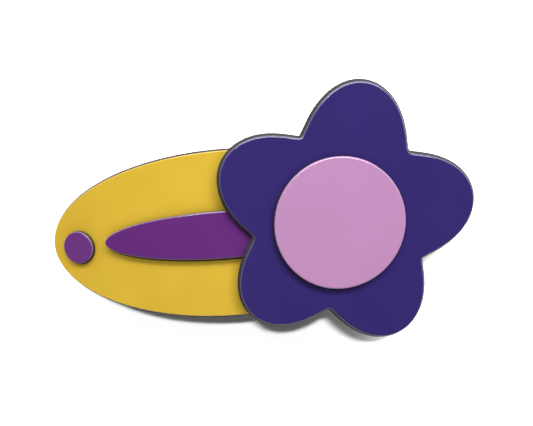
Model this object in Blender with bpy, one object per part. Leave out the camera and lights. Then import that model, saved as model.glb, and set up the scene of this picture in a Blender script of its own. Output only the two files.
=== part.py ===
"""Flower hair clip: a face of layered lacquered sheets on a steel barrette clasp.

Everything is drawn in the base plate's own frame, in millimetres: X runs along the clip, Y across it, and Z
out of its face, with the origin on the plate's face at its centre. The plate is bent along X, so the pieces
on it are placed by their arc length from that centre and their depth below the face. At the end the whole
assembly is moved so that its origin is the centre of the bottom of its bounding box.
"""

import math

import bmesh
import bpy
from mathutils import Matrix, Vector

MM = 0.001
GAP = 0.3  # running and seating gap between neighbouring pieces

# Face sheets
BEND_RADIUS = 161.0  # to the plate's face
PLATE_LENGTH = 89.5
PLATE_WIDTH = 39.5
PLATE_THICKNESS = 1.8
LAYER_THICKNESS = 1.5
EDGE_RADIUS = 0.9  # rounding of a sheet's upper edge
TONGUE_LENGTH = 56.5
TONGUE_WIDTH = 11.1
TONGUE_CENTRE = (-1.0, 0.37)
END_DISC_DIAMETER = 8.0
END_DISC_THICKNESS = 1.0
END_DISC_EDGE_RADIUS = 0.6
END_DISC_CENTRE = (-36.75, -0.43)

# Flower: flat, tangent to the bent tongue at TOUCH_ARC
PETALS = 5
PETAL_TIP_RADIUS = 30.37
PETAL_NOTCH_RADIUS = 21.02
PETAL_SHAPE = 1.22  # exponent of the petal curve: higher gives narrower petals
FIRST_PETAL_ANGLE = math.radians(6.5)
TOUCH_ARC = 8.35
FLOWER_FROM_TOUCH = 17.99
FLOWER_ACROSS = 1.73
FLOWER_CENTRE_DIAMETER = 29.6
FLOWER_CENTRE_OFFSET = (-1.09, -0.76)

# Clasp, all steel strip
CLASP_HALF_LENGTH = 38.6
BASE_HALF_WIDTH = 4.5
BASE_THICKNESS = 0.6
BASE_CORNER_RADIUS = 1.5
BASE_CORNER_SHARES = (0.5, 0.85, 0.99)  # where the rounded corners have their sections
BAR_HALF_LENGTH = 29.6
BAR_HALF_WIDTH = 2.6
BAR_THICKNESS = 0.4
BAR_TRAVEL = 0.6  # the spring bar's give towards the base strip
BAR_BOW = 1.0
HAIR_GAP = 4.7
ARM_THICKNESS = 0.7
ARM_HALF_WIDTH = 3.5
HINGE_ARC = -36.5
PIN_RADIUS = 0.6
PIN_HEAD_RADIUS = 1.2
PIN_HEAD_THICKNESS = 0.5
EYE_RADIUS = 1.3
EAR_THICKNESS = 0.6
EAR_RADIUS = 1.5
EAR_ROOT_HALF_LENGTH = 2.4
PRONG_ARC = 34.8
PRONG_HALF_LENGTH = 1.2
PRONG_INNER = 1.1
PRONG_THICKNESS = 0.5
PRONG_NOSE = 0.4
WINDOW_CLEARANCE = 0.6
LIP_ARC = 38.2
LIP_LENGTH = 1.4
RIVET_ARC = 31.8
RIVET_SHANK_RADIUS = 0.7
RIVET_HEAD_RADIUS = 1.4
RIVET_HEAD_THICKNESS = 0.4
RIVET_DEPTH_IN_PLATE = 0.9
KEEPER_ARC = 29.0
KEEPER_HALF_LENGTH = 0.8
KEEPER_THICKNESS = 0.5
KEEPER_LIP_REACH = 0.6  # how far the lip goes under the bar's edge
SETBACK = 0.1  # keeps folded lugs off the strips' own edge planes
CUT_MARGIN = 1.0  # how far cutting shapes reach past what they cut

# Depths below the plate's face
BASE_DEPTH = PLATE_THICKNESS + GAP
BASE_UNDERSIDE = BASE_DEPTH + BASE_THICKNESS
BAR_END_DEPTH = BASE_UNDERSIDE + GAP + BAR_TRAVEL
ARM_DEPTH = BAR_END_DEPTH + BAR_BOW + BAR_THICKNESS + HAIR_GAP
ARM_UNDERSIDE = ARM_DEPTH + ARM_THICKNESS
HINGE_DEPTH = ARM_UNDERSIDE
EAR_INNER = BASE_HALF_WIDTH - EAR_THICKNESS - SETBACK

ROUND_STEPS = 48
PLATE_STEPS = 72
END_DISC_STEPS = 32
PETAL_STEPS = 26
SMALL_ROUND_STEPS = 20
STRIP_STEPS = 24
LIP_STEPS = 4
EDGE_STEPS = 3
SHARP_ANGLE = math.radians(35.0)
EMPTY_SIZE = 5.0

STEEL = ((0.62, 0.60, 0.56), 0.3, 1.0)
YELLOW = ((0.76, 0.50, 0.04), 0.25, 0.0)
PURPLE = ((0.14, 0.03, 0.21), 0.25, 0.0)
VIOLET = ((0.042, 0.028, 0.17), 0.25, 0.0)
PINK = ((0.58, 0.29, 0.55), 0.25, 0.0)


def clear_scene():
    for obj in list(bpy.data.objects):
        bpy.data.objects.remove(obj)


def finish_material(name, finish):
    colour, roughness, metallic = finish
    material = bpy.data.materials.new(name)
    material.use_nodes = True
    shader = material.node_tree.nodes["Principled BSDF"]
    shader.inputs["Base Color"].default_value = (*colour, 1.0)
    shader.inputs["Roughness"].default_value = roughness
    shader.inputs["Metallic"].default_value = metallic
    return material


def bent(arc, across, depth):
    """The point at an arc length along the plate, a distance across it and a depth below its face."""
    angle = arc / BEND_RADIUS
    radius = BEND_RADIUS - depth
    return Vector((radius * math.sin(angle), across, radius * math.cos(angle) - BEND_RADIUS))


def station(arc, depth=0.0):
    """Frame at an arc length along the plate: X along it, Z out of its face."""
    return Matrix.Translation(bent(arc, 0.0, depth)) @ Matrix.Rotation(arc / BEND_RADIUS, 4, "Y")


def hinge_frame():
    """Frame on the hinge pin's axis, which runs along its Y."""
    return station(HINGE_ARC) @ Matrix.Translation((0.0, 0.0, -HINGE_DEPTH))


def flower_frame():
    """Frame on the flower's face, at its centre."""
    rise = LAYER_THICKNESS * 2 + GAP * 2
    return station(TOUCH_ARC) @ Matrix.Translation((FLOWER_FROM_TOUCH, FLOWER_ACROSS, rise))


def ellipse(length, width, centre=(0.0, 0.0), steps=ROUND_STEPS):
    points = []
    for i in range(steps):
        angle = 2 * math.pi * i / steps
        points.append((centre[0] + length / 2 * math.cos(angle), centre[1] + width / 2 * math.sin(angle)))
    return points


def flower_outline():
    points = []
    steps = PETALS * PETAL_STEPS
    for i in range(steps):
        angle = 2 * math.pi * i / steps
        reach = abs(math.cos(PETALS * angle / 2)) ** PETAL_SHAPE
        radius = PETAL_NOTCH_RADIUS + (PETAL_TIP_RADIUS - PETAL_NOTCH_RADIUS) * reach
        turned = angle + FIRST_PETAL_ANGLE
        points.append((radius * math.cos(turned), radius * math.sin(turned)))
    return points


def inset(outline, distance):
    """Moves an anticlockwise outline inwards along its normals."""
    moved = []
    count = len(outline)
    for i, (x, y) in enumerate(outline):
        before = outline[i - 1]
        after = outline[(i + 1) % count]
        along = Vector((after[0] - before[0], after[1] - before[1])).normalized()
        moved.append((x - along.y * distance, y + along.x * distance))
    return moved


def edge_profile(thickness, edge_radius):
    """Inset and height of each ring of a sheet's wall, from its back to its face."""
    rings = [(0.0, -thickness)]
    for i in range(EDGE_STEPS + 1):
        angle = math.pi / 2 * i / EDGE_STEPS
        rings.append((edge_radius * (1 - math.cos(angle)), edge_radius * (math.sin(angle) - 1)))
    return rings


def object_from(name, bm, finish):
    """Turns a bmesh in millimetres into a named object in metres."""
    bmesh.ops.scale(bm, vec=(MM, MM, MM), verts=bm.verts)
    bmesh.ops.recalc_face_normals(bm, faces=bm.faces)
    mesh = bpy.data.meshes.new(name)
    bm.to_mesh(mesh)
    bm.free()
    mesh.shade_smooth()
    mesh.set_sharp_from_angle(angle=SHARP_ANGLE)
    obj = bpy.data.objects.new(name, mesh)
    bpy.context.collection.objects.link(obj)
    mesh.materials.append(finish_material(name, finish))
    return obj


def cap_across(bm, ring):
    """Fills a ring that mirrors across its long axis with strips, so that the cap can follow the bend."""
    count = len(ring)
    for i in range(count // 2):
        corners = [ring[i], ring[i + 1], ring[(count - i - 1) % count], ring[(count - i) % count]]
        bm.faces.new(list(dict.fromkeys(corners)))


def sheet(name, outline, thickness, finish, place, follows_bend=False, edge_radius=EDGE_RADIUS):
    """A sheet with a rounded upper edge. place maps a point on it, with its height, to the frame."""
    bm = bmesh.new()
    rings = []
    for distance, height in edge_profile(thickness, edge_radius):
        rings.append([bm.verts.new(place(x, y, height)) for x, y in inset(outline, distance)])
    for lower, upper in zip(rings, rings[1:]):
        for i in range(len(outline)):
            j = (i + 1) % len(outline)
            bm.faces.new((lower[i], lower[j], upper[j], upper[i]))
    for ring in (rings[0], rings[-1]):
        if follows_bend:
            cap_across(bm, ring)
        else:
            bm.faces.new(ring)
    return object_from(name, bm, finish)


def plate_level(rise):
    """Places sheet points whose face is at a rise above the plate's face."""
    return lambda x, y, height: bent(x, y, -rise - height)


def flower_level(rise):
    frame = flower_frame()
    return lambda x, y, height: frame @ Vector((x, y, rise + height))


def strip_mesh(arcs, half_width, depth, thickness):
    """A bent steel strip. half_width and depth are functions of the arc length."""
    bm = bmesh.new()
    sections = []
    for arc in arcs:
        side = half_width(arc)
        top = depth(arc)
        bottom = top + thickness
        corners = ((-side, top), (side, top), (side, bottom), (-side, bottom))
        sections.append([bm.verts.new(bent(arc, across, deep)) for across, deep in corners])
    for first, second in zip(sections, sections[1:]):
        for i in range(4):
            j = (i + 1) % 4
            bm.faces.new((first[i], first[j], second[j], second[i]))
    bm.faces.new(sections[0])
    bm.faces.new(sections[-1])
    return bm


def evenly(start, end, steps=STRIP_STEPS):
    return [start + (end - start) * i / steps for i in range(steps + 1)]


def prism(frame, outline, low, high, along):
    """A prism between two positions on a local axis. The outline's second value is the local height."""
    bm = bmesh.new()
    sides = []
    for position in (low, high):
        points = [(position, a, b) if along == "X" else (a, position, b) for a, b in outline]
        sides.append([bm.verts.new(frame @ Vector(point)) for point in points])
    for i in range(len(outline)):
        j = (i + 1) % len(outline)
        bm.faces.new((sides[0][i], sides[0][j], sides[1][j], sides[1][i]))
    bm.faces.new(sides[0])
    bm.faces.new(sides[1])
    return bm


def cylinder(frame, radius, low, high, axis="Z"):
    """A cylinder along a local axis between two positions on it."""
    bm = bmesh.new()
    turn = Matrix.Rotation(math.radians(-90), 4, "X") if axis == "Y" else Matrix.Identity(4)
    middle = Matrix.Translation((0.0, 0.0, (low + high) / 2))
    bmesh.ops.create_cone(
        bm, cap_ends=True, segments=SMALL_ROUND_STEPS, radius1=radius, radius2=radius, depth=high - low,
        matrix=frame @ turn @ middle,
    )
    return bm


def combine(target, shapes, operation):
    """Joins shapes to an object, or cuts them from it, one exact Boolean at a time."""
    for number, bm in enumerate(shapes):
        tool = object_from(f"{target.name}_tool_{number}", bm, STEEL)
        modifier = target.modifiers.new("combine", "BOOLEAN")
        modifier.operation = operation
        modifier.solver = "EXACT"
        modifier.object = tool
        depsgraph = bpy.context.evaluated_depsgraph_get()
        result = bpy.data.meshes.new_from_object(target.evaluated_get(depsgraph))
        target.modifiers.clear()
        finish = target.data.materials[0]
        target.data = result
        result.materials.clear()
        result.materials.append(finish)
        bpy.data.objects.remove(tool)
    target.data.shade_smooth()
    target.data.set_sharp_from_angle(angle=SHARP_ANGLE)
    return target


def build_base_plate():
    outline = ellipse(PLATE_LENGTH, PLATE_WIDTH, steps=PLATE_STEPS)
    plate = sheet("base_plate", outline, PLATE_THICKNESS, YELLOW, plate_level(0.0), follows_bend=True)
    hole_radius = RIVET_SHANK_RADIUS + GAP
    bottom = -PLATE_THICKNESS - CUT_MARGIN
    top = RIVET_DEPTH_IN_PLATE + GAP - PLATE_THICKNESS
    holes = [cylinder(station(arc), hole_radius, bottom, top) for arc in (-RIVET_ARC, RIVET_ARC)]
    return combine(plate, holes, "DIFFERENCE")


def build_tongue():
    outline = ellipse(TONGUE_LENGTH, TONGUE_WIDTH, TONGUE_CENTRE)
    return sheet("tongue", outline, LAYER_THICKNESS, PURPLE, plate_level(LAYER_THICKNESS + GAP),
                 follows_bend=True)


def build_end_disc():
    outline = ellipse(END_DISC_DIAMETER, END_DISC_DIAMETER, END_DISC_CENTRE, steps=END_DISC_STEPS)
    return sheet("end_disc", outline, END_DISC_THICKNESS, PURPLE, plate_level(END_DISC_THICKNESS + GAP),
                 follows_bend=True, edge_radius=END_DISC_EDGE_RADIUS)


def build_flower():
    return sheet("flower", flower_outline(), LAYER_THICKNESS, VIOLET, flower_level(0.0))


def build_flower_centre():
    outline = ellipse(FLOWER_CENTRE_DIAMETER, FLOWER_CENTRE_DIAMETER, FLOWER_CENTRE_OFFSET)
    return sheet("flower_centre", outline, LAYER_THICKNESS, PINK, flower_level(LAYER_THICKNESS + GAP))


def base_half_width(arc):
    """Half width of the base strip, whose corners are rounded."""
    past = max(0.0, abs(arc) - (CLASP_HALF_LENGTH - BASE_CORNER_RADIUS))
    return BASE_HALF_WIDTH - BASE_CORNER_RADIUS + math.sqrt(BASE_CORNER_RADIUS ** 2 - past * past)


def ear_shapes():
    """Two ears that stand down from the base strip's edges and hold the hinge pin."""
    root = -BASE_DEPTH - BASE_THICKNESS / 2
    outline = [(-EAR_ROOT_HALF_LENGTH, root)]
    steps = SMALL_ROUND_STEPS // 2
    for i in range(steps + 1):
        angle = math.pi + math.pi * i / steps
        outline.append((EAR_RADIUS * math.cos(angle), EAR_RADIUS * math.sin(angle) - HINGE_DEPTH))
    outline.append((EAR_ROOT_HALF_LENGTH, root))
    hinge = station(HINGE_ARC)
    return [
        prism(hinge, outline, -EAR_INNER - EAR_THICKNESS, -EAR_INNER, "Y"),
        prism(hinge, outline, EAR_INNER, EAR_INNER + EAR_THICKNESS, "Y"),
    ]


def keeper_shapes():
    """Folded lugs that carry the spring bar's two ends: a post beside the bar and a lip under it."""
    inner = BAR_HALF_WIDTH + GAP + SETBACK
    outer = inner + KEEPER_THICKNESS
    lip_inner = BAR_HALF_WIDTH - KEEPER_LIP_REACH
    root = -BASE_DEPTH - BASE_THICKNESS / 2
    lip_top = -BAR_END_DEPTH - BAR_THICKNESS - GAP
    lip_bottom = lip_top - KEEPER_THICKNESS
    outline = [(inner, root), (inner, lip_top), (lip_inner, lip_top), (lip_inner, lip_bottom),
               (outer, lip_bottom), (outer, root)]
    shapes = []
    for arc in (-KEEPER_ARC, KEEPER_ARC):
        for side in (-1, 1):
            mirrored = [(side * across, height) for across, height in outline]
            shapes.append(prism(station(arc), mirrored, -KEEPER_HALF_LENGTH, KEEPER_HALF_LENGTH, "X"))
    return shapes


def build_clasp_base():
    straight = CLASP_HALF_LENGTH - BASE_CORNER_RADIUS
    ends = [straight + BASE_CORNER_RADIUS * share for share in BASE_CORNER_SHARES]
    arcs = [-arc for arc in reversed(ends)] + evenly(-straight, straight) + ends
    bm = strip_mesh(arcs, base_half_width, lambda arc: BASE_DEPTH, BASE_THICKNESS)
    base = object_from("clasp_base", bm, STEEL)
    combine(base, ear_shapes() + keeper_shapes(), "UNION")
    reach = BASE_HALF_WIDTH + CUT_MARGIN
    cuts = [cylinder(hinge_frame(), PIN_RADIUS + GAP, -reach, reach, "Y")]
    for arc in (-RIVET_ARC, RIVET_ARC):
        low = -BASE_UNDERSIDE - CUT_MARGIN
        high = -BASE_DEPTH + CUT_MARGIN
        cuts.append(cylinder(station(arc), RIVET_SHANK_RADIUS + GAP, low, high))
    return combine(base, cuts, "DIFFERENCE")


def lip_depth(arc):
    """Extra depth of the arm's end, which curls down level with the ears."""
    start = LIP_ARC - LIP_LENGTH
    if arc <= start:
        return 0.0
    lowest = bent(HINGE_ARC, 0.0, HINGE_DEPTH).z - EAR_RADIUS
    level = BEND_RADIUS - (BEND_RADIUS + lowest) / math.cos(LIP_ARC / BEND_RADIUS)
    drop = level - ARM_UNDERSIDE
    share = (arc - start) / LIP_LENGTH
    return drop * (1 - math.cos(math.pi / 2 * share))


def build_clasp_arm():
    lip_start = LIP_ARC - LIP_LENGTH
    arcs = evenly(HINGE_ARC, lip_start) + evenly(lip_start, LIP_ARC, LIP_STEPS)[1:]
    bm = strip_mesh(arcs, lambda arc: ARM_HALF_WIDTH, lambda arc: ARM_DEPTH + lip_depth(arc), ARM_THICKNESS)
    arm = object_from("clasp_arm", bm, STEEL)
    eye = cylinder(hinge_frame(), EYE_RADIUS, -ARM_HALF_WIDTH, ARM_HALF_WIDTH, "Y")
    combine(arm, [eye], "UNION")
    reach = ARM_HALF_WIDTH + CUT_MARGIN
    bore = cylinder(hinge_frame(), PIN_RADIUS + GAP, -reach, reach, "Y")
    half_window = PRONG_HALF_LENGTH + WINDOW_CLEARANCE
    side = PRONG_INNER + PRONG_THICKNESS + PRONG_NOSE + GAP
    below = -ARM_UNDERSIDE - CUT_MARGIN
    above = -ARM_DEPTH + CUT_MARGIN
    outline = [(-side, below), (side, below), (side, above), (-side, above)]
    window = prism(station(PRONG_ARC), outline, -half_window, half_window, "X")
    return combine(arm, [bore, window], "DIFFERENCE")


def bar_depth(arc):
    """Depth of the spring bar, which bows away from the base strip."""
    return BAR_END_DEPTH + BAR_BOW * math.cos(math.pi / 2 * arc / BAR_HALF_LENGTH)


def build_tension_bar():
    arcs = evenly(-BAR_HALF_LENGTH, BAR_HALF_LENGTH)
    bm = strip_mesh(arcs, lambda arc: BAR_HALF_WIDTH, bar_depth, BAR_THICKNESS)
    return object_from("tension_bar", bm, STEEL)


def build_hinge_pin():
    head_start = BASE_HALF_WIDTH + GAP
    head_end = head_start + PIN_HEAD_THICKNESS
    pin = object_from("hinge_pin", cylinder(hinge_frame(), PIN_RADIUS, -head_end, head_end, "Y"), STEEL)
    heads = [
        cylinder(hinge_frame(), PIN_HEAD_RADIUS, head_start, head_end, "Y"),
        cylinder(hinge_frame(), PIN_HEAD_RADIUS, -head_end, -head_start, "Y"),
    ]
    return combine(pin, heads, "UNION")


def build_prong(name, side):
    """A leaf that stands from the base strip through the arm's window, with a nose that holds the arm."""
    outer = PRONG_INNER + PRONG_THICKNESS
    root = -BASE_UNDERSIDE - GAP
    nose_top = -ARM_UNDERSIDE - GAP
    tip = nose_top - PRONG_THICKNESS
    outline = [(PRONG_INNER, root), (outer, root), (outer, nose_top), (outer + PRONG_NOSE, nose_top),
               (outer, tip), (PRONG_INNER, tip)]
    mirrored = [(side * across, height) for across, height in outline]
    bm = prism(station(PRONG_ARC), mirrored, -PRONG_HALF_LENGTH, PRONG_HALF_LENGTH, "X")
    return object_from(name, bm, STEEL)


def build_rivet(name, arc):
    """A rivet with its head under the base strip and its shank up in the plate's blind hole."""
    head_top = -BASE_UNDERSIDE - GAP
    head_bottom = head_top - RIVET_HEAD_THICKNESS
    head = cylinder(station(arc), RIVET_HEAD_RADIUS, head_bottom, head_top)
    shank_top = RIVET_DEPTH_IN_PLATE - PLATE_THICKNESS
    middle = (head_top + head_bottom) / 2
    shank = cylinder(station(arc), RIVET_SHANK_RADIUS, middle, shank_top)
    return combine(object_from(name, head, STEEL), [shank], "UNION")


def joint_empty(name, place, assembly):
    empty = bpy.data.objects.new(name, None)
    bpy.context.collection.objects.link(empty)
    empty.empty_display_size = EMPTY_SIZE * MM
    empty.location = place * MM
    empty.parent = assembly
    return empty


def carry(empty, pieces):
    """Hangs pieces on a joint's empty without moving them."""
    for piece in pieces:
        piece.data.transform(Matrix.Translation(-empty.location))
        piece.parent = empty


def stand_on_origin(assembly, pieces):
    """Moves the assembly so that its origin is the centre of the bottom of its bounding box."""
    bpy.context.view_layer.update()
    corners = [piece.matrix_world @ vertex.co for piece in pieces for vertex in piece.data.vertices]
    low = Vector(min(corner[axis] for corner in corners) for axis in range(3))
    high = Vector(max(corner[axis] for corner in corners) for axis in range(3))
    assembly.location = (-(low.x + high.x) / 2, -(low.y + high.y) / 2, -low.z)
    bpy.context.view_layer.update()


def main():
    clear_scene()
    assembly = bpy.data.objects.new("hair_clip", None)
    bpy.context.collection.objects.link(assembly)

    face = [build_base_plate(), build_tongue(), build_end_disc(), build_flower(), build_flower_centre(),
            build_clasp_base(), build_hinge_pin(), build_rivet("rivet_left", -RIVET_ARC),
            build_rivet("rivet_right", RIVET_ARC)]
    arm = build_clasp_arm()
    bar = build_tension_bar()
    left = build_prong("catch_prong_left", 1)
    right = build_prong("catch_prong_right", -1)

    face_hinge = joint_empty("face_hinge", bent(HINGE_ARC, 0.0, HINGE_DEPTH), assembly)
    carry(face_hinge, face)
    carry(joint_empty("arm_seat", bent(HINGE_ARC, 0.0, HINGE_DEPTH), assembly), [arm])
    carry(joint_empty("bar_press", bent(0.0, 0.0, BAR_END_DEPTH + BAR_BOW), assembly), [bar])
    foot = BASE_UNDERSIDE + GAP
    middle = PRONG_INNER + PRONG_THICKNESS / 2
    carry(joint_empty("prong_left_pivot", bent(PRONG_ARC, middle, foot), assembly), [left])
    carry(joint_empty("prong_right_pivot", bent(PRONG_ARC, -middle, foot), assembly), [right])
    stand_on_origin(assembly, face + [arm, bar, left, right])


main()
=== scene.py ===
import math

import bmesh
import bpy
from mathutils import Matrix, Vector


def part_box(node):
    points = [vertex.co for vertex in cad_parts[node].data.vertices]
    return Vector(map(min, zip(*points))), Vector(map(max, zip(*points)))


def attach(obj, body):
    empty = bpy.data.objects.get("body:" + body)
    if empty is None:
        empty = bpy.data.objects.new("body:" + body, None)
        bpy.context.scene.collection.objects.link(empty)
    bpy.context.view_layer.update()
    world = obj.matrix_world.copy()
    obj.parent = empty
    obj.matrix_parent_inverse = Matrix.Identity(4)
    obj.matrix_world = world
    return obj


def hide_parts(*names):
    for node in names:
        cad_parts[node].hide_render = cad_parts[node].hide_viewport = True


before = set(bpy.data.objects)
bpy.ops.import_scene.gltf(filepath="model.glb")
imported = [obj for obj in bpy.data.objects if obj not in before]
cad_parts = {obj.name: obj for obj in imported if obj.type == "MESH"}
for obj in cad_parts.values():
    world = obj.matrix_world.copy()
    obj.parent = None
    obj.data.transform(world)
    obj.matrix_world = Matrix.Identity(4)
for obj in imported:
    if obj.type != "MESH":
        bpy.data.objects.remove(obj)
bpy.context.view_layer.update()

# Looks of the flower hair clip: lacquered sheets with rounded edges over a black core, a plated steel
# barrette clasp on the back, a pale floor, soft light and the camera. Sizes are in millimetres, in the base
# plate's own frame: X along the plate as arc length, Y across it and depth below its face. Lights, the
# floor and bump heights are in metres, and noise scales are per metre. Angles without math.radians are in
# degrees.

MM = 0.001

# Face sheets
BEND_RADIUS = 161.0
PLATE_LENGTH = 89.5
PLATE_WIDTH = 39.5
PLATE_THICKNESS = 1.8
LAYER_RISE = 1.8  # from one sheet's face to the next one's, so each sheet is drawn down to the one below
BACK_EDGE_RADIUS = 0.25
BACK_EDGE_STEPS = 3
BACK_INSET = 0.4  # width of the flat ring inside the back edge's rounding
FACE_INSET = 0.2  # width of the flat ring inside the lacquer's rounding
LACQUER_THICKNESS = 0.4
LACQUER_RADIUS = 0.45
TIGHT_LACQUER_RADIUS = 0.24  # on the plate and the end disc
LACQUER_STEPS = 8
SHOULDER_DEPTH = 0.9
SHOULDER_STEPS = 8
SHOULDER_ROUNDING = 0.25  # from 0 for a flat bevel to 1 for a quarter round
CORE_STEP = 0.06  # what the core attribute changes by from one point of the edge to the next
PLATE_BORDER = 0.47
TONGUE_BORDER = 0.05
END_DISC_BORDER = 0.1
FLOWER_BORDER = 0.50
FLOWER_LEAN = 0.16
FLOWER_LEAN_DIRECTION = 125.0
FLOWER_CENTRE_BORDER = 0.08
FLOWER_CENTRE_LEAN = 0.08
FLOWER_CENTRE_LEAN_DIRECTION = 190.0
TONGUE_LENGTH = 56.5
TONGUE_WIDTH = 11.1
TONGUE_CENTRE = (-1.0, 0.37)
END_DISC_DIAMETER = 8.0
END_DISC_RISE = 1.3  # from the plate's face to the disc's
END_DISC_CENTRE = (-36.75, -0.43)
PETALS = 5
PETAL_TIP_RADIUS = 30.44
PETAL_NOTCH_RADIUS = 21.09
PETAL_SHAPE = 1.22  # above 1 for slimmer petals
FIRST_PETAL_ANGLE = math.radians(6.5)
TOUCH_ARC = 8.35  # where the flat flower touches the bent tongue
FLOWER_FROM_TOUCH = 18.01
FLOWER_ACROSS = 1.73
FLOWER_CENTRE_DIAMETER = 29.6
FLOWER_CENTRE_OFFSET = (-1.09, -0.76)

# Clasp
BASE_DEPTH = 2.1
BASE_THICKNESS = 0.6
BASE_HALF_WIDTH = 4.5
BASE_CORNER_RADIUS = 1.5
CLASP_HALF_LENGTH = 38.6
HINGE_ARC = -36.5
HINGE_DEPTH = 10.4
PIN_RADIUS = 0.8
PIN_HEAD_RADIUS = 1.25
PIN_HEAD_WALL = 0.35  # share of the head's height below its dome
PIN_PAST_BASE = 0.8
PIN_CLEARANCE = 0.05
EAR_RADIUS = 1.5
EAR_ROOT_HALF_LENGTH = 2.4
EAR_THICKNESS = 0.6
EAR_INNER = 3.8
CURL_RADIUS = 1.1
CURL_THICKNESS = 0.4
CURL_START = -40.0
CURL_SWEEP = -230.0
ARM_DEPTH = 9.7
ARM_THICKNESS = 0.7
ARM_HALF_WIDTH = 3.5
JOGGLE_LENGTH = 2.6
LIP_ARC = 38.2
LIP_LENGTH = 1.5
LIP_REACH = 1.35
LIP_TAPER = 0.35
LIP_CORNER_START = 0.2
LIP_CORNER_CURVE = 0.5
LIP_STEPS = 8
RIB_HEIGHT = 0.28
RIB_END = 28.0
RIB_RUN_OUT = 3.0
RIB_CREST = 0.16  # this, the slope and the columns are shares of the arm's half width
RIB_SLOPE = 0.14
ARM_COLUMNS = (0.08, 0.16, 0.20, 0.25, 0.30, 0.34, 0.66, 1.0)
BAR_HALF_LENGTH = 29.6
BAR_HALF_WIDTH = 2.6
BAR_THICKNESS = 0.4
BAR_END_DEPTH = 3.6
BAR_BOW = 1.0
BAR_TIP_LENGTH = 2.2
BAR_TIP_HALF_WIDTH = 0.5
KEEPER_ARC = 29.0
KEEPER_HALF_LENGTH = 0.8
KEEPER_THICKNESS = 0.5
KEEPER_SIDE_GAP = 0.4
KEEPER_LIP = 0.6
KEEPER_LIP_GAP = 0.3
PRONG_ARC = 34.8
PRONG_HALF_LENGTH = 1.2
PRONG_INNER = 1.1
PRONG_THICKNESS = 0.45
PRONG_FOOT_THINNING = 0.9
PRONG_TIP_DEPTH = 11.2
PRONG_FOOT_LENGTH = 1.4
PRONG_FOOT_BEND = 0.5
PRONG_NOSE = 0.42
PRONG_CENTRE_LINE = 0.25  # from the leaf's outer face
NOSE_BELOW_ARM_TOP = 0.5
PRONG_TIP_TAPER = 0.35
PRONG_TIP_STEPS = 5
WINDOW_HALF_LENGTH = 1.8
WINDOW_HALF_WIDTH = 2.3
WINDOW_CORNER_RADIUS = 0.6
CUTTER_MARGIN = 1.0
RIVET_ARC = 31.8
RIVET_HEAD_RADIUS = 1.4
RIVET_HEAD_THICKNESS = 0.65
RIVET_HEAD_WALL = 0.3
TURN_STEPS = 48
SHARP_ANGLE = math.radians(35.0)
EASED_FROM_ANGLE = math.radians(40.0)
EASED_SHARP_ANGLE = math.radians(50.0)
EASE_SEGMENTS = 2
STRIP_EASE = 0.1
BAR_EASE = 0.07
PRONG_EASE = 0.08

# Camera, lights and floor
CAMERA_FROM_PLATE = (7.718, 10.180, 111.440)
CAMERA_ROTATION = (-11.217, 1.212, -4.492)
CAMERA_LENS = 32.264
CAMERA_SHIFT = (0.0366, 0.1323)
LIGHT_TARGET = (0.0, 0.0, 0.01)
KEY_PLACE = (0.10, 0.474, 0.500)
KEY_SIZE = (0.72, 0.16)
KEY_POWER = 11.0
WIDE_PLACE = (0.42, 0.58, 0.60)
WIDE_SIZE = (1.60, 0.25)
WIDE_POWER = 5.5
OVERHEAD_PLACE = (-0.02, 0.238, 0.66)
OVERHEAD_SIZE = (0.10, 0.035)
OVERHEAD_POWER = 5.9
HORIZON = (1.0, 1.0, 1.0)
SKY = (0.08, 0.08, 0.08)
SKY_HEIGHT = 0.5
FLOOR_SIZE = 0.9

# Materials: colours, noise scales, ranges of roughness and bump heights
CORE_BLACK = (0.003, 0.0026, 0.003)
CORE_WORN = (0.007, 0.006, 0.0055)
# Painted sheen: a pale colour mixed into each lacquer towards its edge, standing in for light caught by the
# rounding.
RIM_PAINTED_SHEEN = (0.34, 0.33, 0.28)
# Painted shade: the colour each lacquer darkens towards near steps and under the sheets that stand on it.
PAINTED_SHADE_COLOUR = (0.0, 0.0, 0.0)
STEEL_BRIGHT = (0.36, 0.35, 0.33)
STEEL_DULL = (0.24, 0.225, 0.205)
FLOOR_TONES = ((0.80, 0.80, 0.80), (0.82, 0.82, 0.82))
FULL_RANGE = (0.0, 1.0)
COAT_END_WAVES = 900.0
COAT_END_WAVE_REACH = (-0.02, 0.02)  # this and the next two are values of the core attribute
COAT_END_BLEND = (-0.03, 0.03)
# Core attribute range of the edge band that takes the painted sheen and the extra roughness.
RIM_BAND_RANGE = (-0.42, -0.12)
COAT_CLOUDS = 60.0
COAT_PIGMENT = 2600.0
COAT_PIGMENT_SHARE = (0.0, 0.25)
CORE_COVER = 0.96  # how far the core hides the coat where the coat has ended
COAT_HAZE = 220.0
COAT_ROUGHNESS = (0.11, 0.17)
RIM_DULLNESS = 0.25
CORE_DULLNESS = 0.4
COAT_PEEL = 420.0
COAT_PEEL_HEIGHT = 0.000012
COAT_GRAIN = 5200.0
COAT_GRAIN_HEIGHT = 0.0000012
CORE_STREAKS = (60.0, 420.0, 420.0)
STEEL_PATCHES = 160.0
STEEL_ROUGHNESS = (0.18, 0.36)
STEEL_LINE_ROUGHNESS = (-0.05, 0.07)
STEEL_LINES_LEVEL = (40.0, 2600.0, 2600.0)
STEEL_LINES_UPRIGHT = (2600.0, 2600.0, 40.0)
STEEL_LINE_HEIGHT = 0.000006
FLOOR_CLOUDS = 3.0
FLOOR_ROUGHNESS = 0.85
FLOOR_SPECULAR = 0.1
FLOOR_GRAIN = 900.0
FLOOR_GRAIN_HEIGHT = 0.00002


def plate_origin():
    low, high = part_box("base_plate")
    return Vector(((low.x + high.x) / 2, (low.y + high.y) / 2, high.z))


ORIGIN = plate_origin()


def bent(arc, across, depth):
    """World point at an arc length along the plate, a distance across it and a depth below its face."""
    angle = arc / BEND_RADIUS
    radius = BEND_RADIUS - depth
    point = Vector((radius * math.sin(angle), across, radius * math.cos(angle) - BEND_RADIUS))
    return ORIGIN + point * MM


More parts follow.
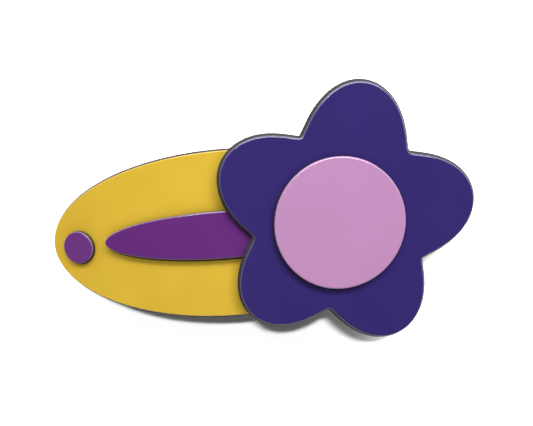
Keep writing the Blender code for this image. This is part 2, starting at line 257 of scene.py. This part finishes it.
def station(arc):
    """World frame, in millimetres, at an arc length along the plate: X along it, Z out of its face."""
    scale = Matrix.Diagonal((MM, MM, MM, 1.0))
    turn = Matrix.Rotation(arc / BEND_RADIUS, 4, "Y")
    return Matrix.Translation(bent(arc, 0.0, 0.0)) @ turn @ scale


FLOWER_FRAME = station(TOUCH_ARC) @ Matrix.Translation((FLOWER_FROM_TOUCH, FLOWER_ACROSS, 2 * LAYER_RISE))


def on_plate(rise):
    return lambda x, y, height: bent(x, y, -rise - height)


def on_flower(rise):
    return lambda x, y, height: FLOWER_FRAME @ Vector((x, y, rise + height))


def ellipse(length, width, centre=(0.0, 0.0), steps=240):
    points = []
    for i in range(steps):
        angle = 2 * math.pi * i / steps
        points.append((centre[0] + length / 2 * math.cos(angle), centre[1] + width / 2 * math.sin(angle)))
    return points


def flower_outline(steps_per_petal=96):
    points = []
    steps = PETALS * steps_per_petal
    for i in range(steps):
        angle = 2 * math.pi * i / steps
        reach = abs(math.cos(PETALS * angle / 2)) ** PETAL_SHAPE
        radius = PETAL_NOTCH_RADIUS + (PETAL_TIP_RADIUS - PETAL_NOTCH_RADIUS) * reach
        turned = angle + FIRST_PETAL_ANGLE
        points.append((radius * math.cos(turned), radius * math.sin(turned)))
    return points


def outward_normals(outline):
    normals = []
    for i in range(len(outline)):
        before = outline[i - 1]
        after = outline[(i + 1) % len(outline)]
        along = Vector((after[0] - before[0], after[1] - before[1])).normalized()
        normals.append((along.y, -along.x))
    return normals


def edge_profile(thickness, border, radius):
    """Inset and height of each point up a sheet's edge: the black core's back edge, wall and shoulder, then
    the tight rounding of the lacquer, which stands a border's width inside the core's outline."""
    points = [(BACK_EDGE_RADIUS + BACK_INSET, -thickness)]
    for i in range(BACK_EDGE_STEPS + 1):
        angle = math.pi / 2 * i / BACK_EDGE_STEPS
        distance = BACK_EDGE_RADIUS * (1 - math.sin(angle))
        points.append((distance, BACK_EDGE_RADIUS * (1 - math.cos(angle)) - thickness))
    for i in range(SHOULDER_STEPS + 1):
        share = i / SHOULDER_STEPS
        angle = math.pi / 2 * share
        distance = border * (share + SHOULDER_ROUNDING * (1 - math.cos(angle) - share))
        rise = share + SHOULDER_ROUNDING * (math.sin(angle) - share)
        points.append((distance, (SHOULDER_DEPTH - LACQUER_THICKNESS) * rise - SHOULDER_DEPTH))
    foot = len(points) - 1
    for i in range(1, LACQUER_STEPS + 1):
        angle = math.pi / 2 * i / LACQUER_STEPS
        distance = border + radius * (1 - math.cos(angle))
        points.append((distance, LACQUER_THICKNESS * (math.sin(angle) - 1)))
    points.append((border + radius + FACE_INSET, 0.0))
    return points, foot


def new_object(name, bm, material):
    bmesh.ops.recalc_face_normals(bm, faces=bm.faces)
    mesh = bpy.data.meshes.new(name)
    bm.to_mesh(mesh)
    bm.free()
    mesh.shade_smooth()
    mesh.set_sharp_from_angle(angle=SHARP_ANGLE)
    mesh.materials.append(material)
    piece = bpy.data.objects.new(name, mesh)
    bpy.context.collection.objects.link(piece)
    return piece


def cap_across(bm, ring):
    """Fills a ring that mirrors across its long axis with strips, so that the cap follows the bend."""
    count = len(ring)
    for i in range(count // 2):
        corners = [ring[i], ring[i + 1], ring[(count - i - 1) % count], ring[(count - i) % count]]
        bm.faces.new(list(dict.fromkeys(corners)))


def sheet(name, outline, thickness, material, place, follows_bend, border, radius=LACQUER_RADIUS,
          lean=0.0, lean_direction=0.0):
    """A sheet with rounded edges. Its lacquer sits off the core's centre by lean, so the border is widest
    in lean_direction. The core attribute is above 0 on the black core and below 0 on the lacquer."""
    bm = bmesh.new()
    core = bm.verts.layers.float.new("core")
    columns = []
    for (x, y), (across, up) in zip(outline, outward_normals(outline)):
        turn = math.atan2(up, across) - math.radians(lean_direction)
        points, foot = edge_profile(thickness, border + lean * math.cos(turn), radius)
        column = []
        for step, (distance, height) in enumerate(points):
            vertex = bm.verts.new(place(x - across * distance, y - up * distance, height))
            vertex[core] = (foot - step) * CORE_STEP
            column.append(vertex)
        columns.append(column)
    rings = list(zip(*columns))
    for lower, upper in zip(rings, rings[1:]):
        for i in range(len(outline)):
            j = (i + 1) % len(outline)
            bm.faces.new((lower[i], lower[j], upper[j], upper[i]))
    for ring in (rings[0], rings[-1]):
        if follows_bend:
            cap_across(bm, ring)
        else:
            bm.faces.new(ring)
    return new_object(name, bm, material)


# Materials


class Nodes:
    """Short calls for building a material's node tree."""

    def __init__(self, name):
        self.material = bpy.data.materials.new(name)
        self.material.use_nodes = True
        self.tree = self.material.node_tree
        self.shader = self.tree.nodes["Principled BSDF"]
        self.place = self.add("ShaderNodeTexCoord").outputs["Object"]

    def add(self, kind, **settings):
        node = self.tree.nodes.new(kind)
        for key, value in settings.items():
            setattr(node, key, value)
        return node

    def link(self, source, target):
        self.tree.links.new(source, target)

    def stretched(self, scale):
        mapping = self.add("ShaderNodeMapping")
        mapping.inputs["Scale"].default_value = scale
        self.link(self.place, mapping.inputs["Vector"])
        return mapping.outputs["Vector"]

    def noise(self, scale, detail=3.0, roughness=0.5, vector=None):
        node = self.add("ShaderNodeTexNoise")
        node.inputs["Scale"].default_value = scale
        node.inputs["Detail"].default_value = detail
        node.inputs["Roughness"].default_value = roughness
        self.link(vector or self.place, node.inputs["Vector"])
        return node.outputs["Fac"]

    def remap(self, source, source_range, result_range):
        node = self.add("ShaderNodeMapRange")
        node.inputs["From Min"].default_value, node.inputs["From Max"].default_value = source_range
        node.inputs["To Min"].default_value, node.inputs["To Max"].default_value = result_range
        self.link(source, node.inputs["Value"])
        return node.outputs["Result"]

    def calculate(self, operation, first, second):
        node = self.add("ShaderNodeMath", operation=operation)
        for value, socket in zip((first, second), node.inputs):
            if isinstance(value, (int, float)):
                socket.default_value = value
            else:
                self.link(value, socket)
        return node.outputs["Value"]

    def mix(self, factor, first, second):
        node = self.add("ShaderNodeMix", data_type="RGBA")
        self.link(factor, node.inputs["Factor"])
        for value, socket in ((first, node.inputs[6]), (second, node.inputs[7])):
            if isinstance(value, tuple):
                socket.default_value = (*value, 1.0)
            else:
                self.link(value, socket)
        return node.outputs[2]

    def bump(self, height, distance, base=None):
        node = self.add("ShaderNodeBump")
        node.inputs["Distance"].default_value = distance
        self.link(height, node.inputs["Height"])
        if base:
            self.link(base, node.inputs["Normal"])
        return node.outputs["Normal"]


def lacquer(name, colour, deep, rim_sheen_share, painted_shade_reach, painted_shade_tone):
    """Gloss lacquer over a black core. It wraps the upper rounding and ends in a fine, slightly wavy line.
    A painted sheen pales it towards that line by a given share, standing in for light caught by the
    rounding, and painted shade darkens it to a given tone within a given reach of what stands on it."""
    n = Nodes(name)
    core = n.add("ShaderNodeAttribute", attribute_name="core").outputs["Fac"]
    wavy = n.calculate("ADD", core, n.remap(n.noise(COAT_END_WAVES), FULL_RANGE, COAT_END_WAVE_REACH))
    bare = n.remap(wavy, COAT_END_BLEND, FULL_RANGE)
    clouds = n.remap(n.noise(COAT_CLOUDS, 4.0), (0.35, 0.7), FULL_RANGE)
    pigment = n.remap(n.noise(COAT_PIGMENT, 2.0), (0.45, 0.75), COAT_PIGMENT_SHARE)
    tone = n.calculate("MAXIMUM", clouds, pigment)
    coat = n.mix(tone, colour, deep)
    streaks = n.noise(1.0, 5.0, 0.6, n.stretched(CORE_STREAKS))
    black = n.mix(n.remap(streaks, (0.45, 0.75), FULL_RANGE), CORE_BLACK, CORE_WORN)
    covered = n.calculate("MULTIPLY", bare, CORE_COVER)
    # Painted shade: ambient occlusion darkens the lacquer to a given tone near whatever stands on it,
    # within a given reach.
    corner = n.add("ShaderNodeAmbientOcclusion", samples=8)
    corner.inputs["Distance"].default_value = painted_shade_reach * MM
    shade = n.remap(corner.outputs["AO"], (0.3, 0.95), (painted_shade_tone, 1.0))
    # Painted sheen: a pale colour mixed in towards the lacquer's edge stands in for light caught by the
    # rounding. The same edge band is also made rougher below.
    rim = n.remap(core, RIM_BAND_RANGE, FULL_RANGE)
    sheen_painted_coat = n.mix(n.calculate("MULTIPLY", rim, rim_sheen_share), coat, RIM_PAINTED_SHEEN)
    shaded = n.mix(shade, PAINTED_SHADE_COLOUR, sheen_painted_coat)
    n.link(n.mix(covered, shaded, black), n.shader.inputs["Base Color"])
    haze = n.remap(n.noise(COAT_HAZE, 5.0, 0.65), (0.3, 0.75), COAT_ROUGHNESS)
    dull_rim = n.calculate("MULTIPLY", rim, RIM_DULLNESS)
    duller = n.calculate("ADD", dull_rim, n.calculate("MULTIPLY", bare, CORE_DULLNESS))
    n.link(n.calculate("ADD", haze, duller), n.shader.inputs["Roughness"])
    peel = n.bump(n.noise(COAT_PEEL, 2.0), COAT_PEEL_HEIGHT)
    grain = n.bump(n.noise(COAT_GRAIN, 2.0), COAT_GRAIN_HEIGHT, base=peel)
    n.link(grain, n.shader.inputs["Normal"])
    return n.material


def steel(name, grain):
    """Nickel-plated strip with fine drawing lines, handling marks and a few dull patches."""
    n = Nodes(name)
    lines = n.noise(1.0, 3.0, 0.6, n.stretched(grain))
    patches = n.noise(STEEL_PATCHES, 5.0, 0.6)
    colour = n.mix(n.remap(patches, (0.35, 0.75), FULL_RANGE), STEEL_BRIGHT, STEEL_DULL)
    n.link(colour, n.shader.inputs["Base Color"])
    n.shader.inputs["Metallic"].default_value = 1.0
    base = n.remap(patches, (0.3, 0.75), STEEL_ROUGHNESS)
    drawn = n.remap(lines, (0.3, 0.7), STEEL_LINE_ROUGHNESS)
    n.link(n.calculate("ADD", base, drawn), n.shader.inputs["Roughness"])
    n.link(n.bump(lines, STEEL_LINE_HEIGHT), n.shader.inputs["Normal"])
    return n.material


def paper_floor():
    n = Nodes("pale_floor")
    n.link(n.mix(n.noise(FLOOR_CLOUDS, 4.0), *FLOOR_TONES), n.shader.inputs["Base Color"])
    n.shader.inputs["Roughness"].default_value = FLOOR_ROUGHNESS
    n.shader.inputs["Specular IOR Level"].default_value = FLOOR_SPECULAR
    n.link(n.bump(n.noise(FLOOR_GRAIN), FLOOR_GRAIN_HEIGHT), n.shader.inputs["Normal"])
    return n.material


YELLOW = lacquer("yellow_lacquer", (0.272, 0.1820, 0.0167), (0.252, 0.161, 0.0138),
                 rim_sheen_share=0.0, painted_shade_reach=3.6, painted_shade_tone=0.45)
PURPLE = lacquer("purple_lacquer", (0.049, 0.0095, 0.072), (0.045, 0.0083, 0.067),
                 rim_sheen_share=0.24, painted_shade_reach=2.0, painted_shade_tone=0.5)
DISC_PURPLE = lacquer("purple_disc_lacquer", (0.057, 0.0141, 0.080), (0.054, 0.0129, 0.076),
                      rim_sheen_share=0.24, painted_shade_reach=2.0, painted_shade_tone=0.5)
VIOLET = lacquer("violet_lacquer", (0.0134, 0.0080, 0.0565), (0.0123, 0.0074, 0.0530),
                 rim_sheen_share=0.11, painted_shade_reach=1.8, painted_shade_tone=0.5)
PINK = lacquer("pink_lacquer", (0.192, 0.0985, 0.182), (0.185, 0.0943, 0.175),
               rim_sheen_share=0.11, painted_shade_reach=2.0, painted_shade_tone=0.5)
STEEL = steel("plated_steel", STEEL_LINES_LEVEL)
PRONG_STEEL = steel("plated_steel_upright", STEEL_LINES_UPRIGHT)


# Clasp shapes


def prism(axes, outline, low, high, along):
    """A prism of an outline between two positions on one of the local axes, X, Y or Z."""
    bm = bmesh.new()
    sides = []
    for position in (low, high):
        points = {
            "X": [(position, a, b) for a, b in outline],
            "Y": [(a, position, b) for a, b in outline],
            "Z": [(a, b, position) for a, b in outline],
        }[along]
        sides.append([bm.verts.new(axes @ Vector(point)) for point in points])
    for i in range(len(outline)):
        j = (i + 1) % len(outline)
        bm.faces.new((sides[0][i], sides[0][j], sides[1][j], sides[1][i]))
    bm.faces.new(sides[0])
    bm.faces.new(sides[1])
    return bm


def lathe(axes, profile):
    """Turns a profile of (radius, height) points, which starts and ends on the axis, about local Z."""
    bm = bmesh.new()
    first = bm.verts.new(axes @ Vector((0.0, 0.0, profile[0][1])))
    last = bm.verts.new(axes @ Vector((0.0, 0.0, profile[-1][1])))
    rings = []
    for radius, height in profile[1:-1]:
        ring = []
        for i in range(TURN_STEPS):
            angle = 2 * math.pi * i / TURN_STEPS
            point = Vector((radius * math.cos(angle), radius * math.sin(angle), height))
            ring.append(bm.verts.new(axes @ point))
        rings.append(ring)
    for lower, upper in zip(rings, rings[1:]):
        for i in range(TURN_STEPS):
            j = (i + 1) % TURN_STEPS
            bm.faces.new((lower[i], lower[j], upper[j], upper[i]))
    for i in range(TURN_STEPS):
        j = (i + 1) % TURN_STEPS
        bm.faces.new((first, rings[0][j], rings[0][i]))
        bm.faces.new((last, rings[-1][i], rings[-1][j]))
    return bm


def cylinder(axes, radius, low, high):
    return lathe(axes, [(0.0, low), (radius, low), (radius, high), (0.0, high)])


def ribbon(path, half_width, thickness, place, columns=(-1.0, 1.0), raised=None):
    """A strip swept along a centre line. path holds (a, b) points; half_width, thickness and raised are
    functions of the station's number, and raised also of the column. place maps (a, across, b)."""
    bm = bmesh.new()
    sections = []
    count = len(path)
    for k, (a, b) in enumerate(path):
        before = path[max(k - 1, 0)]
        after = path[min(k + 1, count - 1)]
        along = Vector((after[0] - before[0], after[1] - before[1])).normalized()
        normal = Vector((-along.y, along.x))
        half = thickness(k) / 2
        section = []
        for side, order in ((1, columns), (-1, tuple(reversed(columns)))):
            for column in order:
                lift = raised(k, column) if raised else 0.0
                offset = normal * (side * half + lift)
                section.append(bm.verts.new(place(a + offset.x, column * half_width(k), b + offset.y)))
        sections.append(section)
    size = len(sections[0])
    for first, second in zip(sections, sections[1:]):
        for i in range(size):
            j = (i + 1) % size
            bm.faces.new((first[i], first[j], second[j], second[i]))
    bm.faces.new(sections[0])
    bm.faces.new(sections[-1])
    return bm


def combine(target, shapes, operation):
    for bm in shapes:
        tool = new_object("tool", bm, STEEL)
        modifier = target.modifiers.new("combine", "BOOLEAN")
        modifier.operation = operation
        modifier.solver = "EXACT"
        modifier.object = tool
        depsgraph = bpy.context.evaluated_depsgraph_get()
        result = bpy.data.meshes.new_from_object(target.evaluated_get(depsgraph))
        target.modifiers.clear()
        result.materials.clear()
        result.materials.append(target.data.materials[0])
        target.data = result
        bpy.data.objects.remove(tool)


def ease_edges(piece, width):
    """Rounds the edges of a stamped piece and fixes the result in its mesh."""
    modifier = piece.modifiers.new("ease", "BEVEL")
    modifier.width = width * MM
    modifier.segments = EASE_SEGMENTS
    modifier.limit_method = "ANGLE"
    modifier.angle_limit = EASED_FROM_ANGLE
    modifier.use_clamp_overlap = True
    depsgraph = bpy.context.evaluated_depsgraph_get()
    material = piece.data.materials[0]
    piece.data = bpy.data.meshes.new_from_object(piece.evaluated_get(depsgraph))
    piece.modifiers.clear()
    piece.data.materials.clear()
    piece.data.materials.append(material)
    piece.data.shade_smooth()
    piece.data.set_sharp_from_angle(angle=EASED_SHARP_ANGLE)


def adopt(piece, node, body):
    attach(piece, body)
    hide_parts(node)


def make_face_sheets():
    outline = ellipse(PLATE_LENGTH, PLATE_WIDTH, steps=360)
    plate = sheet("yellow_plate", outline, PLATE_THICKNESS, YELLOW, on_plate(0.0), follows_bend=True,
                  border=PLATE_BORDER, radius=TIGHT_LACQUER_RADIUS)
    adopt(plate, "base_plate", "face")
    outline = ellipse(TONGUE_LENGTH, TONGUE_WIDTH, TONGUE_CENTRE)
    tongue = sheet("purple_tongue", outline, LAYER_RISE, PURPLE, on_plate(LAYER_RISE), follows_bend=True,
                   border=TONGUE_BORDER)
    adopt(tongue, "tongue", "face")
    outline = ellipse(END_DISC_DIAMETER, END_DISC_DIAMETER, END_DISC_CENTRE, steps=120)
    disc = sheet("purple_disc", outline, END_DISC_RISE, DISC_PURPLE, on_plate(END_DISC_RISE),
                 follows_bend=True, border=END_DISC_BORDER, radius=TIGHT_LACQUER_RADIUS)
    adopt(disc, "end_disc", "face")
    flower = sheet("violet_flower", flower_outline(), LAYER_RISE, VIOLET, on_flower(0.0),
                   follows_bend=False, border=FLOWER_BORDER, lean=FLOWER_LEAN,
                   lean_direction=FLOWER_LEAN_DIRECTION)
    adopt(flower, "flower", "face")
    outline = ellipse(FLOWER_CENTRE_DIAMETER, FLOWER_CENTRE_DIAMETER, FLOWER_CENTRE_OFFSET)
    centre = sheet("pink_centre", outline, LAYER_RISE, PINK, on_flower(LAYER_RISE),
                   follows_bend=False, border=FLOWER_CENTRE_BORDER, lean=FLOWER_CENTRE_LEAN,
                   lean_direction=FLOWER_CENTRE_LEAN_DIRECTION)
    adopt(centre, "flower_centre", "face")


def ear_shapes():
    root = -BASE_DEPTH - BASE_THICKNESS / 2
    outline = [(-EAR_ROOT_HALF_LENGTH, root)]
    steps = 24
    for i in range(steps + 1):
        angle = math.pi + math.pi * i / steps
        outline.append((EAR_RADIUS * math.cos(angle), EAR_RADIUS * math.sin(angle) - HINGE_DEPTH))
    outline.append((EAR_ROOT_HALF_LENGTH, root))
    hinge = station(HINGE_ARC)
    return [
        prism(hinge, outline, -EAR_INNER - EAR_THICKNESS, -EAR_INNER, "Y"),
        prism(hinge, outline, EAR_INNER, EAR_INNER + EAR_THICKNESS, "Y"),
    ]


def keeper_shapes():
    inner = BAR_HALF_WIDTH + KEEPER_SIDE_GAP
    outer = inner + KEEPER_THICKNESS
    lip_inner = BAR_HALF_WIDTH - KEEPER_LIP
    root = -BASE_DEPTH - BASE_THICKNESS / 2
    lip_top = -BAR_END_DEPTH - BAR_THICKNESS - KEEPER_LIP_GAP
    lip_bottom = lip_top - KEEPER_THICKNESS
    outline = [(inner, root), (inner, lip_top), (lip_inner, lip_top), (lip_inner, lip_bottom),
               (outer, lip_bottom), (outer, root)]
    shapes = []
    for arc in (-KEEPER_ARC, KEEPER_ARC):
        for side in (-1, 1):
            mirrored = [(side * across, height) for across, height in outline]
            shapes.append(prism(station(arc), mirrored, -KEEPER_HALF_LENGTH, KEEPER_HALF_LENGTH, "X"))
    return shapes


def hinge_frame():
    """Frame on the hinge pin's axis, with local Z along the pin."""
    axis = Matrix.Translation((0.0, 0.0, -HINGE_DEPTH)) @ Matrix.Rotation(-math.pi / 2, 4, "X")
    return station(HINGE_ARC) @ axis


def strip_arcs(straight, end_length, end_angles, steps):
    """Arc lengths along a strip with rounded ends, closer together where the ends round off."""
    ends = [straight + end_length * math.sin(angle) for angle in end_angles]
    middle = [straight * (2 * i / steps - 1) for i in range(steps + 1)]
    return [-arc for arc in reversed(ends)] + middle + ends


def make_clasp_base():
    straight = CLASP_HALF_LENGTH - BASE_CORNER_RADIUS
    corner_angles = [math.pi / 2 * i / 6 for i in range(1, 6)]
    arcs = strip_arcs(straight, BASE_CORNER_RADIUS, corner_angles, 90)

    def half_width(k):
        past = max(0.0, abs(arcs[k]) - straight)
        rounded = math.sqrt(BASE_CORNER_RADIUS * BASE_CORNER_RADIUS - past * past)
        return BASE_HALF_WIDTH - BASE_CORNER_RADIUS + rounded

    path = [(arc, BASE_DEPTH + BASE_THICKNESS / 2) for arc in arcs]
    strip = ribbon(path, half_width, lambda k: BASE_THICKNESS, bent)
    base = new_object("clasp_base_strip", strip, STEEL)
    combine(base, ear_shapes() + keeper_shapes(), "UNION")
    past_ears = EAR_INNER + 2 * EAR_THICKNESS + CUTTER_MARGIN
    bore = cylinder(hinge_frame(), PIN_RADIUS + PIN_CLEARANCE, -past_ears, past_ears)
    combine(base, [bore], "DIFFERENCE")
    ease_edges(base, STRIP_EASE)
    adopt(base, "clasp_base", "face")


def make_hinge_pin():
    head_start = EAR_INNER + EAR_THICKNESS
    head_end = BASE_HALF_WIDTH + PIN_PAST_BASE
    dome = []
    for i in range(7):
        angle = math.pi / 2 * i / 6
        rise = (head_end - head_start) * (PIN_HEAD_WALL + (1 - PIN_HEAD_WALL) * math.sin(angle))
        dome.append((PIN_HEAD_RADIUS * math.cos(angle), head_start + rise))
    half = [(PIN_RADIUS, head_start), (PIN_HEAD_RADIUS, head_start)] + dome
    profile = [(radius, -height) for radius, height in reversed(half)] + half
    pin = new_object("hinge_pin_headed", lathe(hinge_frame(), profile), STEEL)
    adopt(pin, "hinge_pin", "face")


def make_rivet(name, node, arc):
    top = -BASE_DEPTH - BASE_THICKNESS
    profile = [(0.0, top - RIVET_HEAD_THICKNESS)]
    for i in range(1, 8):
        angle = math.pi / 2 * i / 7
        drop = RIVET_HEAD_THICKNESS * (RIVET_HEAD_WALL + (1 - RIVET_HEAD_WALL) * math.cos(angle))
        profile.append((RIVET_HEAD_RADIUS * math.sin(angle), top - drop))
    profile += [(RIVET_HEAD_RADIUS, top), (0.0, top)]
    adopt(new_object(name, lathe(station(arc), profile), STEEL), node, "face")


def smooth_step(share):
    return share * share * (3 - 2 * share)


def window_shape():
    """The rounded hole in the arm that the catch prongs come through."""
    outline = []
    corner = WINDOW_CORNER_RADIUS
    for quarter, (x, y) in enumerate(((1, 1), (-1, 1), (-1, -1), (1, -1))):
        for i in range(5):
            angle = math.pi / 2 * (quarter + i / 4)
            outline.append((x * (WINDOW_HALF_LENGTH - corner) + corner * math.cos(angle),
                            y * (WINDOW_HALF_WIDTH - corner) + corner * math.sin(angle)))
    low = -ARM_DEPTH - 2 * CUTTER_MARGIN
    return prism(station(PRONG_ARC), outline, CUTTER_MARGIN - ARM_DEPTH, low, "Z")


def make_clasp_arm():
    """The arm's near end is rolled round the pin, joggles down to the arm's line, and its far end curls."""
    middle = ARM_DEPTH + ARM_THICKNESS / 2
    path = []
    kinds = []
    curl_steps = 22
    for i in range(curl_steps):
        angle = math.radians(CURL_START + CURL_SWEEP * i / curl_steps)
        along = CURL_RADIUS * math.cos(angle)
        path.append((HINGE_ARC + along, HINGE_DEPTH - CURL_RADIUS * math.sin(angle)))
        kinds.append("curl")
    joggle_end = HINGE_ARC + JOGGLE_LENGTH
    curl_top = HINGE_DEPTH - CURL_RADIUS
    for i in range(8):
        share = i / 7
        depth = curl_top + (middle - curl_top) * smooth_step(share)
        path.append((HINGE_ARC + JOGGLE_LENGTH * share, depth))
        kinds.append("joggle")
    lip_start = LIP_ARC - LIP_LENGTH
    arm_steps = 96
    for i in range(1, arm_steps + 1):
        path.append((joggle_end + (lip_start - joggle_end) * i / arm_steps, middle))
        kinds.append("arm")
    lowest = (bent(HINGE_ARC, 0.0, HINGE_DEPTH).z - ORIGIN.z) / MM - EAR_RADIUS
    level = BEND_RADIUS - (BEND_RADIUS + lowest) / math.cos(LIP_ARC / BEND_RADIUS)
    drop = level - ARM_DEPTH - ARM_THICKNESS
    for i in range(1, LIP_STEPS + 1):
        angle = math.pi / 2 * i / LIP_STEPS
        path.append((lip_start + LIP_REACH * math.sin(angle), middle + drop * (1 - math.cos(angle))))
        kinds.append("lip")
    last = len(path) - 1

    def thickness(k):
        if kinds[k] == "curl":
            return CURL_THICKNESS
        if kinds[k] == "joggle":
            share = (path[k][0] - HINGE_ARC) / JOGGLE_LENGTH
            return CURL_THICKNESS + (ARM_THICKNESS - CURL_THICKNESS) * share
        if kinds[k] == "lip":
            return ARM_THICKNESS * (1 - LIP_TAPER * (k - last + LIP_STEPS) / LIP_STEPS)
        return ARM_THICKNESS

    def half_width(k):
        past = max(0.0, path[k][0] - (lip_start + LIP_CORNER_START)) if kinds[k] == "lip" else 0.0
        return ARM_HALF_WIDTH - LIP_CORNER_CURVE * past * past

    def rib(k, column):
        arc = path[k][0]
        ends = min(1.0, max(0.0, (RIB_END - abs(arc)) / RIB_RUN_OUT))
        across = max(0.0, 1 - max(0.0, abs(column) - RIB_CREST) / RIB_SLOPE)
        return RIB_HEIGHT * smooth_step(ends) * smooth_step(across)

    columns = tuple(-column for column in reversed(ARM_COLUMNS)) + (0.0,) + ARM_COLUMNS
    bm = ribbon(path, half_width, thickness, bent, columns, rib)
    arm = new_object("clasp_arm_strip", bm, STEEL)
    combine(arm, [window_shape()], "DIFFERENCE")
    ease_edges(arm, STRIP_EASE)
    adopt(arm, "clasp_arm", "arm")


def make_tension_bar():
    def depth(arc):
        return BAR_END_DEPTH + BAR_THICKNESS / 2 + BAR_BOW * math.cos(math.pi / 2 * arc / BAR_HALF_LENGTH)

    straight = BAR_HALF_LENGTH - BAR_TIP_LENGTH
    tip_angles = [math.pi / 2 * i / 9 for i in range(1, 9)]
    arcs = strip_arcs(straight, BAR_TIP_LENGTH, tip_angles, 80)
    path = [(arc, depth(arc)) for arc in arcs]

    def half_width(k):
        past = max(0.0, abs(arcs[k]) - straight) / BAR_TIP_LENGTH
        return BAR_TIP_HALF_WIDTH + (BAR_HALF_WIDTH - BAR_TIP_HALF_WIDTH) * math.sqrt(1 - past * past)

    strip = ribbon(path, half_width, lambda k: BAR_THICKNESS, bent)
    bar = new_object("spring_bar_bowed", strip, STEEL)
    ease_edges(bar, BAR_EASE)
    adopt(bar, "tension_bar", "spring_bar")


def make_prong(name, node, body, side):
    """A leaf with a foot against the base strip, a nose that swells under the arm and a rounded tip."""
    foot = BASE_DEPTH + BASE_THICKNESS + PRONG_CENTRE_LINE
    middle = PRONG_INNER + PRONG_CENTRE_LINE
    path = [(middle + PRONG_FOOT_LENGTH, foot), (middle + PRONG_FOOT_LENGTH - PRONG_FOOT_BEND, foot)]
    for i in range(6):
        angle = math.pi / 2 * i / 5
        across = middle + PRONG_FOOT_BEND * (1 - math.sin(angle))
        path.append((across, foot + PRONG_FOOT_BEND * (1 - math.cos(angle))))
    straight_start = foot + PRONG_FOOT_BEND
    straight_end = ARM_DEPTH + NOSE_BELOW_ARM_TOP
    for i in range(1, 9):
        path.append((middle, straight_start + (straight_end - straight_start) * i / 8))
    length = PRONG_TIP_DEPTH - straight_end
    for i in range(1, 13):
        share = i / 12
        path.append((middle + PRONG_NOSE * math.sin(math.pi * share) ** 2, straight_end + length * share))
    last = len(path) - 1
    axes = station(PRONG_ARC)

    def half_width(k):
        past = max(0.0, (k - last + PRONG_TIP_STEPS) / PRONG_TIP_STEPS)
        return PRONG_HALF_LENGTH * (1 - PRONG_TIP_TAPER * past * past)

    def place(across, along, depth):
        return axes @ Vector((along, side * across, -depth))

    def thickness(k):
        return PRONG_THICKNESS if k > 1 else PRONG_THICKNESS * PRONG_FOOT_THINNING

    bm = ribbon(path, half_width, thickness, place)
    prong = new_object(name, bm, PRONG_STEEL)
    ease_edges(prong, PRONG_EASE)
    adopt(prong, node, body)


# Stage


def make_floor():
    half = FLOOR_SIZE / 2
    mesh = bpy.data.meshes.new("floor")
    corners = [(-half, -half, 0), (half, -half, 0), (half, half, 0), (-half, half, 0)]
    mesh.from_pydata(corners, [], [(0, 1, 2, 3)])
    mesh.materials.append(paper_floor())
    floor = bpy.data.objects.new("floor", mesh)
    bpy.context.collection.objects.link(floor)


def area_light(name, location, size, power):
    light = bpy.data.lights.new(name, "AREA")
    light.shape = "RECTANGLE"
    light.size, light.size_y = size
    light.energy = power
    lamp = bpy.data.objects.new(name, light)
    lamp.location = location
    towards = Vector(LIGHT_TARGET) - Vector(location)
    lamp.rotation_euler = towards.to_track_quat("-Z", "Y").to_euler()
    bpy.context.collection.objects.link(lamp)
    return lamp


def make_lights():
    area_light("key", KEY_PLACE, KEY_SIZE, KEY_POWER)
    area_light("wide", WIDE_PLACE, WIDE_SIZE, WIDE_POWER)
    overhead = area_light("overhead", OVERHEAD_PLACE, OVERHEAD_SIZE, OVERHEAD_POWER)
    overhead.visible_glossy = False


def make_world():
    """A white horizon that fades to a dim sky."""
    world = bpy.data.worlds.new("studio")
    bpy.context.scene.world = world
    world.use_nodes = True
    tree = world.node_tree
    place = tree.nodes.new("ShaderNodeTexCoord").outputs["Generated"]
    split = tree.nodes.new("ShaderNodeSeparateXYZ")
    ramp = tree.nodes.new("ShaderNodeValToRGB")
    tree.links.new(place, split.inputs["Vector"])
    tree.links.new(split.outputs["Z"], ramp.inputs["Fac"])
    horizon, sky = ramp.color_ramp.elements
    horizon.position = 0.0
    horizon.color = (*HORIZON, 1.0)
    sky.position = SKY_HEIGHT
    sky.color = (*SKY, 1.0)
    tree.links.new(ramp.outputs["Color"], tree.nodes["Background"].inputs["Color"])


def make_camera():
    data = bpy.data.cameras.new("camera")
    data.lens = CAMERA_LENS
    data.shift_x, data.shift_y = CAMERA_SHIFT
    data.clip_start = 0.005
    camera = bpy.data.objects.new("camera", data)
    camera.location = ORIGIN + Vector(CAMERA_FROM_PLATE) * MM
    camera.rotation_euler = [math.radians(angle) for angle in CAMERA_ROTATION]
    bpy.context.collection.objects.link(camera)
    bpy.context.scene.camera = camera


make_camera()
make_face_sheets()
make_clasp_base()
make_hinge_pin()
make_rivet("rivet_left_domed", "rivet_left", -RIVET_ARC)
make_rivet("rivet_right_domed", "rivet_right", RIVET_ARC)
make_clasp_arm()
make_tension_bar()
make_prong("prong_left_leaf", "catch_prong_left", "prong_left", 1)
make_prong("prong_right_leaf", "catch_prong_right", "prong_right", -1)
make_floor()
make_lights()
make_world()
bpy.context.scene.view_settings.view_transform = "Standard"
